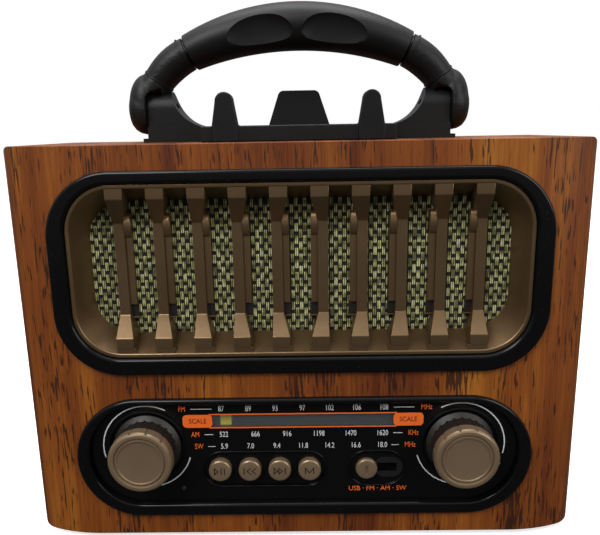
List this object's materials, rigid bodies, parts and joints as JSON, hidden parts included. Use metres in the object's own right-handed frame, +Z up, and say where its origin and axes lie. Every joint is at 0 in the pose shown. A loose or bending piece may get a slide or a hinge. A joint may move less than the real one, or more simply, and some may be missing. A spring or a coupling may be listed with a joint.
{
  "type": "tabletop radio",
  "caption": "Retro tabletop radio with a wood-grain cabinet, barred speaker grille, round knobs, analogue dial, folding carry handle and phone cradle.",
  "frame": {"origin": "centre of the footprint at the level of the feet's undersides", "axes": "+X to the radio's right as seen from the front, +Y from the front to the back, +Z up"},
  "size_m": [0.22, 0.092, 0.2115],
  "materials": {
    "wood_veneer": "satin printed wood grain film",
    "black_gloss": "high gloss",
    "black_satin": "fine satin texture",
    "bronze": "satin metallic bronze coating",
    "dark_plastic": "matt moulded",
    "cloth": "basket weave",
    "rubber": "matt",
    "steel": "zinc plated",
    "chrome": "polished",
    "brass": "turned",
    "painted": "black paint",
    "magnet": "sintered ferrite",
    "cone": "pressed pulp",
    "lens": "clear lens",
    "pointer": "yellow green",
    "board": "green solder mask",
    "ivory": "nylon",
    "cell": "shrink sleeve over a steel can",
    "cord": "braided"
  },
  "bodies": {
    "cabinet": {"cabinet_front": "wood_veneer", "cabinet_wrap": "wood_veneer", "feet": "rubber", "speaker_bezel": "black_gloss", "speaker_grille": "bronze", "speaker_cloth": "cloth", "speaker_baffle": "dark_plastic", "speaker_basket": "painted", "speaker_surround": "rubber", "speaker_cone": "cone", "speaker_magnet": "magnet", "control_bezel": "black_gloss", "dial_plate": "black_gloss", "dial_window": "lens", "volume_pot": "steel", "front_board": "board", "band_switch": "dark_plastic", "dial_cord": "cord", "cord_guides": "steel", "dial_chassis": "steel", "tuning_bush": "brass", "variable_capacitor": "ivory", "main_board": "board", "ferrite_rod": "magnet", "rod_coil": "cord", "rod_holder": "ivory", "battery_cell": "cell", "battery_tray": "dark_plastic", "battery_contacts": "steel", "usb_socket": "steel", "card_slot": "steel", "round_sockets": "dark_plastic", "socket_board": "board", "back_cover": "dark_plastic", "screws": "steel", "handle_base": "black_satin", "phone_cradle": "black_satin", "phone_rest": "black_satin"},
    "handle": {"handle_grip": "black_satin", "handle_arms": "black_satin", "pivot_pins": "steel"},
    "volume_knob": {"volume_knob_cap": "bronze", "volume_knob_skirt": "dark_plastic", "volume_shaft": "steel"},
    "tuning_knob": {"tuning_knob_cap": "bronze", "tuning_knob_skirt": "dark_plastic", "tuning_spindle": "brass"},
    "drum": {"tuning_drum": "ivory"},
    "dial_pointer": {"pointer": "pointer"},
    "play_button": {"button_play": "bronze"},
    "back_button": {"button_back": "bronze"},
    "next_button": {"button_next": "bronze"},
    "mode_button": {"button_mode": "bronze"},
    "band_knob": {"band_slider": "bronze"},
    "door": {"battery_door": "dark_plastic"},
    "aerial_base": {"aerial_swivel": "steel"},
    "aerial_1": {"aerial_section_1": "chrome"},
    "aerial_2": {"aerial_section_2": "chrome"},
    "aerial_3": {"aerial_section_3": "chrome"},
    "aerial_4": {"aerial_section_4": "chrome"}
  },
  "joints": [
    {"name": "handle_fold", "type": "hinge", "parent": "cabinet", "child": "handle", "pos_m": [0, 0.006, 0.171], "axis": [1, 0, 0], "range_deg": [-88, 0]},
    {"name": "volume_turn", "type": "hinge", "parent": "cabinet", "child": "volume_knob", "pos_m": [-0.0614, -0.034, 0.041], "axis": [0, 1, 0], "range_deg": [0, 300]},
    {"name": "tuning_turn", "type": "hinge", "parent": "cabinet", "child": "tuning_knob", "pos_m": [0.0614, -0.034, 0.041], "axis": [0, 1, 0], "range_deg": [-57.3, 1212.76]},
    {"name": "drum_turn", "type": "hinge", "parent": "cabinet", "child": "drum", "pos_m": [0, -0.018, 0.0306], "axis": [0, 1, 0], "range_deg": [-8.69, 173.75]},
    {"name": "pointer_travel", "type": "slide", "parent": "cabinet", "child": "dial_pointer", "axis": [1, 0, 0], "range_m": [-0.00301, 0.06351]},
    {"name": "play_press", "type": "slide", "parent": "cabinet", "child": "play_button", "axis": [0, 1, 0], "range_m": [0, 0.0008], "stiffness_N_per_m": 2000},
    {"name": "back_press", "type": "slide", "parent": "cabinet", "child": "back_button", "axis": [0, 1, 0], "range_m": [0, 0.0008], "stiffness_N_per_m": 2000},
    {"name": "next_press", "type": "slide", "parent": "cabinet", "child": "next_button", "axis": [0, 1, 0], "range_m": [0, 0.0008], "stiffness_N_per_m": 2000},
    {"name": "mode_press", "type": "slide", "parent": "cabinet", "child": "mode_button", "axis": [0, 1, 0], "range_m": [0, 0.0008], "stiffness_N_per_m": 2000},
    {"name": "band_slide", "type": "slide", "parent": "cabinet", "child": "band_knob", "axis": [1, 0, 0], "range_m": [0, 0.0096]},
    {"name": "door_off", "type": "slide", "parent": "cabinet", "child": "door", "axis": [0, 1, 0], "range_m": [0, 0.03]},
    {"name": "aerial_swing", "type": "hinge", "parent": "cabinet", "child": "aerial_base", "pos_m": [0.093, 0.0421, 0.146], "axis": [0, 1, 0], "range_deg": [0, 180]},
    {"name": "aerial_tilt", "type": "hinge", "parent": "aerial_base", "child": "aerial_1", "pos_m": [0.093, 0.0421, 0.146], "axis": [0, 0, -1], "range_deg": [0, 90]},
    {"name": "aerial_pull_1", "type": "slide", "parent": "aerial_1", "child": "aerial_2", "axis": [-1, 0, 0], "range_m": [0, 0.11]},
    {"name": "aerial_pull_2", "type": "slide", "parent": "aerial_2", "child": "aerial_3", "axis": [-1, 0, 0], "range_m": [0, 0.11]},
    {"name": "aerial_pull_3", "type": "slide", "parent": "aerial_3", "child": "aerial_4", "axis": [-1, 0, 0], "range_m": [0, 0.11]}
  ],
  "couplings": [
    {"joint": "pointer_travel", "follows": "tuning_turn", "m_per_rad": 0.003},
    {"joint": "drum_turn", "follows": "tuning_turn", "ratio": 0.14286}
  ]
}
